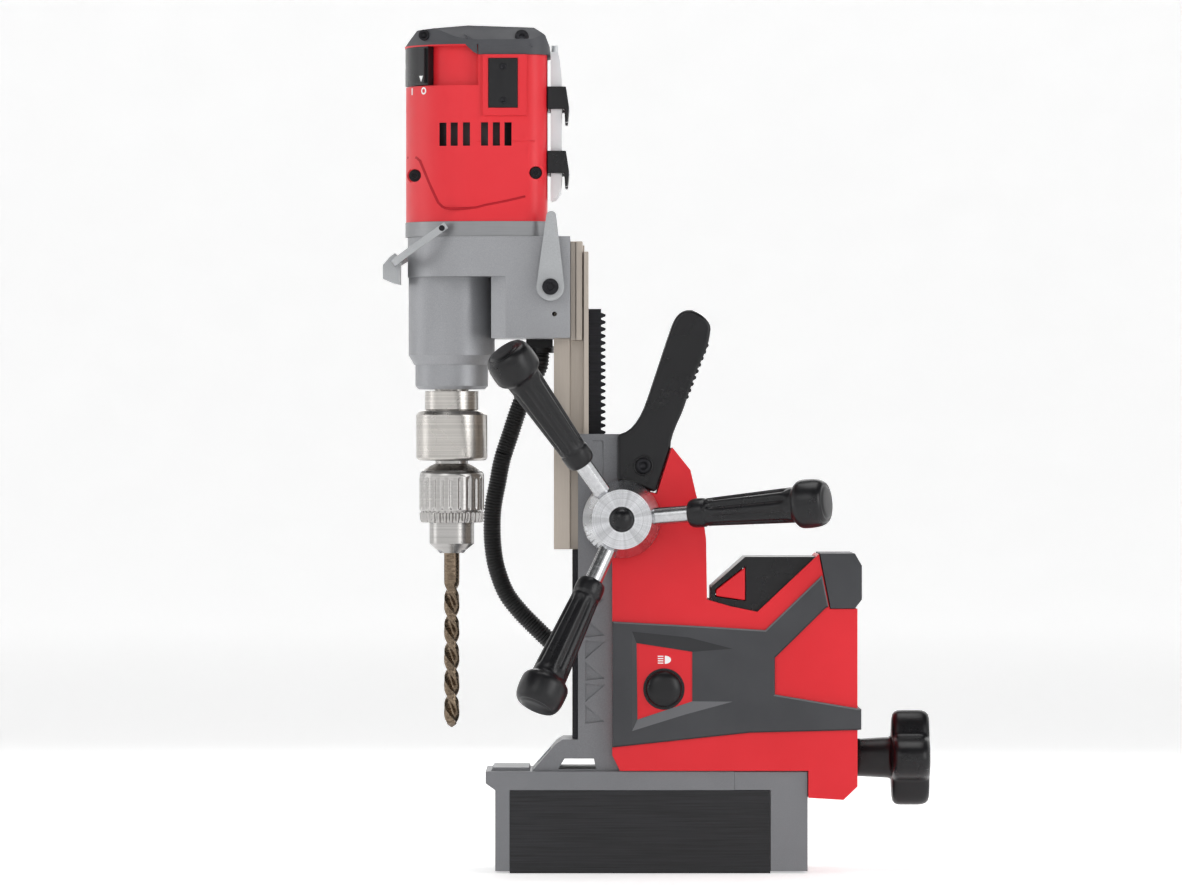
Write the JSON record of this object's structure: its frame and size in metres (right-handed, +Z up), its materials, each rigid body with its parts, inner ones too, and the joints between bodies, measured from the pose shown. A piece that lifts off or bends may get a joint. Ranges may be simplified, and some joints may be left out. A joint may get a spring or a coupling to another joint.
{
  "type": "magnetic drill press",
  "caption": "Battery magnetic drill press: switchable magnet base, column with rack-and-pinion feed, three-spoke hub, geared motor head, quick-change keyed chuck and drill.",
  "frame": {"origin": "centre of the magnet's work face, on the bottom of the brass strip between the pole shoes", "axes": "+Z up, away from the work; the drill points down at -X, the battery and magnet knob are at +X, and the operator's side with the feed hub is -Y"},
  "size_m": [0.3164, 0.1599, 0.4882],
  "materials": {
    "red_plastic": "moulded, fine texture",
    "dark_plastic": "soft overmould",
    "charcoal_plastic": "moulded",
    "black_plastic": "moulded, satin",
    "cast_aluminium": "silver-grey painted casting",
    "satin_aluminium": "turned, brushed",
    "bed_steel": "ground and nickel plated",
    "bright_steel": "satin nickel plated",
    "chrome_steel": "polished",
    "black_oxide": "black oxide",
    "pole_steel": "blackened, scratched",
    "gear_steel": "hobbed",
    "brass": "machined",
    "drill_steel": "bronze oxide",
    "bottle_plastic": "milky, translucent",
    "lens": "clear",
    "copper": "lacquered windings",
    "board_green": "solder mask",
    "cell_wrap": "shrink wrap",
    "conduit_black": "ribbed nylon",
    "lever_grey": "silver-grey paint"
  },
  "bodies": {
    "root": {"base_plate": "cast_aluminium", "base_end_block": "cast_aluminium", "pole_shoes": "pole_steel", "pole_separators": "brass", "column": "cast_aluminium", "way_strips": "black_oxide", "housing_near": "red_plastic", "housing_far": "red_plastic", "side_overmoulds": "dark_plastic", "rear_bumper": "dark_plastic", "carry_handle": "black_plastic", "handle_bolts": "black_oxide", "control_board": "board_green", "pinion_bushes": "brass", "conduit_gland_lower": "black_plastic", "led_lens": "lens", "conduit": "conduit_black"},
    "feed_hub": {"hub": "satin_aluminium", "hub_cap": "black_plastic", "pinion_shaft": "gear_steel", "spoke_rods": "chrome_steel", "spoke_grips": "black_plastic"},
    "carriage": {"slide_bar": "bed_steel", "rack": "black_oxide"},
    "head": {"gear_housing": "cast_aluminium", "motor_flange": "satin_aluminium", "motor_shell_near": "red_plastic", "motor_shell_far": "red_plastic", "motor_top_cap": "charcoal_plastic", "access_plates": "black_plastic", "shell_screws": "black_oxide", "stator": "copper", "head_bearings": "bright_steel", "clamp_jaws": "bed_steel", "conduit_gland_upper": "black_plastic", "bottle_clips": "black_plastic"},
    "clamp_lever_body": {"clamp_lever": "lever_grey", "lever_bolt": "black_oxide"},
    "selector": {"gear_selector": "lever_grey"},
    "switch": {"power_switch": "black_plastic"},
    "rotor": {"motor_rotor": "gear_steel", "cooling_fan": "charcoal_plastic"},
    "idler": {"idler_gear": "gear_steel"},
    "spindle_body": {"spindle": "bright_steel", "chuck_body": "bright_steel", "drill_bit": "drill_steel"},
    "collar": {"quick_collar": "bright_steel"},
    "sleeve": {"chuck_sleeve": "bright_steel"},
    "jaw_1": {"chuck_jaw_1": "gear_steel"},
    "jaw_2": {"chuck_jaw_2": "gear_steel"},
    "jaw_3": {"chuck_jaw_3": "gear_steel"},
    "knob": {"magnet_knob": "black_plastic", "knob_shaft": "gear_steel"},
    "magnet": {"magnet_rotor": "gear_steel"},
    "button": {"light_button": "black_plastic"},
    "battery": {"battery_case": "black_plastic", "battery_cells": "cell_wrap"},
    "latch_a": {"latch_near": "red_plastic"},
    "latch_b": {"latch_far": "red_plastic"},
    "bottle": {"coolant_bottle": "bottle_plastic"}
  },
  "joints": [
    {"name": "feed_slide", "type": "slide", "parent": "root", "child": "carriage", "axis": [0, 0, 1], "range_m": [-0.105, 0.004], "deforming": ["conduit"]},
    {"name": "hub_turn", "type": "hinge", "parent": "root", "child": "feed_hub", "pos_m": [-0.0106, 0, 0.2038], "axis": [0, 1, 0], "range_deg": [-600, 30]},
    {"name": "head_height", "type": "slide", "parent": "carriage", "child": "head", "axis": [0, 0, 1], "range_m": [-0.022, 0.03]},
    {"name": "clamp_turn", "type": "hinge", "parent": "head", "child": "clamp_lever_body", "pos_m": [-0.0515, 0, 0.3372], "axis": [0, -1, 0], "range_deg": [0, 85]},
    {"name": "selector_swing", "type": "hinge", "parent": "head", "child": "selector", "pos_m": [-0.1139, 0, 0.371], "axis": [0, 1, 0], "range_deg": [0, 20]},
    {"name": "power_turn", "type": "hinge", "parent": "head", "child": "switch", "pos_m": [-0.0945, 0, 0.465], "axis": [0, 0, -1], "range_deg": [0, 18]},
    {"name": "spindle_spin", "type": "hinge", "parent": "head", "child": "spindle_body", "pos_m": [-0.109, 0, 0.3], "axis": [0, 0, 1], "continuous": true},
    {"name": "idler_spin", "type": "hinge", "parent": "head", "child": "idler", "pos_m": [-0.09698, 0.01985, 0.35], "axis": [0, 0, 1], "continuous": true},
    {"name": "motor_spin", "type": "hinge", "parent": "head", "child": "rotor", "pos_m": [-0.0945, 0, 0.4], "axis": [0, 0, 1], "continuous": true},
    {"name": "collar_turn", "type": "hinge", "parent": "spindle_body", "child": "collar", "pos_m": [-0.109, 0, 0.25], "axis": [0, 0, 1], "range_deg": [0, 45]},
    {"name": "chuck_open", "type": "hinge", "parent": "spindle_body", "child": "sleeve", "pos_m": [-0.109, 0, 0.215], "axis": [0, 0, 1], "range_deg": [0, 1332]},
    {"name": "jaw_1_slide", "type": "slide", "parent": "spindle_body", "child": "jaw_1", "axis": [0, 0.2588, 0.9659], "range_m": [0, 0.0078]},
    {"name": "jaw_2_slide", "type": "slide", "parent": "spindle_body", "child": "jaw_2", "axis": [-0.2241, -0.1294, 0.9659], "range_m": [0, 0.0078]},
    {"name": "jaw_3_slide", "type": "slide", "parent": "spindle_body", "child": "jaw_3", "axis": [0.2241, -0.1294, 0.9659], "range_m": [0, 0.0078]},
    {"name": "magnet_turn", "type": "hinge", "parent": "root", "child": "magnet", "pos_m": [0, 0, 0.0252], "axis": [1, 0, 0], "range_deg": [-180, 0]},
    {"name": "knob_turn", "type": "hinge", "parent": "root", "child": "knob", "pos_m": [0.15, 0, 0.0652], "axis": [1, 0, 0], "range_deg": [0, 180]},
    {"name": "light_press", "type": "slide", "parent": "root", "child": "button", "axis": [0, 1, 0], "range_m": [0, 0.002], "stiffness_N_per_m": 600},
    {"name": "battery_slide", "type": "slide", "parent": "root", "child": "battery", "axis": [0, 0, 1], "range_m": [0, 0.11]},
    {"name": "latch_near_press", "type": "slide", "parent": "battery", "child": "latch_a", "axis": [0, 1, 0], "range_m": [0, 0.0029], "stiffness_N_per_m": 600},
    {"name": "latch_far_press", "type": "slide", "parent": "battery", "child": "latch_b", "axis": [0, -1, 0], "range_m": [0, 0.0029], "stiffness_N_per_m": 600},
    {"name": "bottle_lift", "type": "slide", "parent": "head", "child": "bottle", "axis": [0, 0, 1], "range_m": [0, 0.11]}
  ],
  "couplings": [
    {"joint": "hub_turn", "follows": "feed_slide", "rad_per_m": 98.425},
    {"joint": "idler_spin", "follows": "spindle_spin", "ratio": -3.1429},
    {"joint": "motor_spin", "follows": "spindle_spin", "ratio": 8.0816},
    {"joint": "jaw_1_slide", "follows": "chuck_open", "m_per_rad": 0.000331},
    {"joint": "jaw_2_slide", "follows": "chuck_open", "m_per_rad": 0.000331},
    {"joint": "jaw_3_slide", "follows": "chuck_open", "m_per_rad": 0.000331},
    {"joint": "knob_turn", "follows": "magnet_turn", "ratio": -1}
  ]
}
